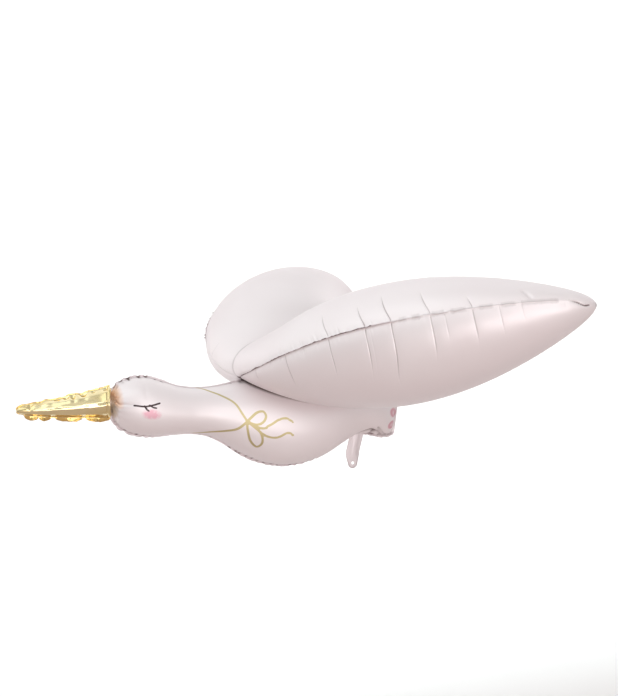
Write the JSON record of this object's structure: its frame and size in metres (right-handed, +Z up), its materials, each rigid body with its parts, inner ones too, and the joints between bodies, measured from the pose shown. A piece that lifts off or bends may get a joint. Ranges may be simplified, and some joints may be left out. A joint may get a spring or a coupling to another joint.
{
  "type": "foil bird balloon",
  "caption": "Inflated foil balloon in the shape of a flying stork, with swept leaf-shaped wings, a long gold foil beak, welded seams and an inflation tail with a ribbon hole",
  "frame": {"origin": "centre of the ribbon hole in the inflation tail at the belly, which the balloon is hung or tied by", "axes": "+Z up, -X towards the beak, +X towards the tail, -Y towards the bird's left wing and +Y towards its right wing"},
  "size_m": [1.3907, 1.5246, 0.5914],
  "materials": {
    "pale_foil": "satin pale pink metallised foil, printed",
    "gold_foil": "bright gold metallised foil"
  },
  "bodies": {
    "root": {"body_balloon": "pale_foil", "beak_balloon": "gold_foil", "wing_balloon": "pale_foil"}
  },
  "joints": []
}
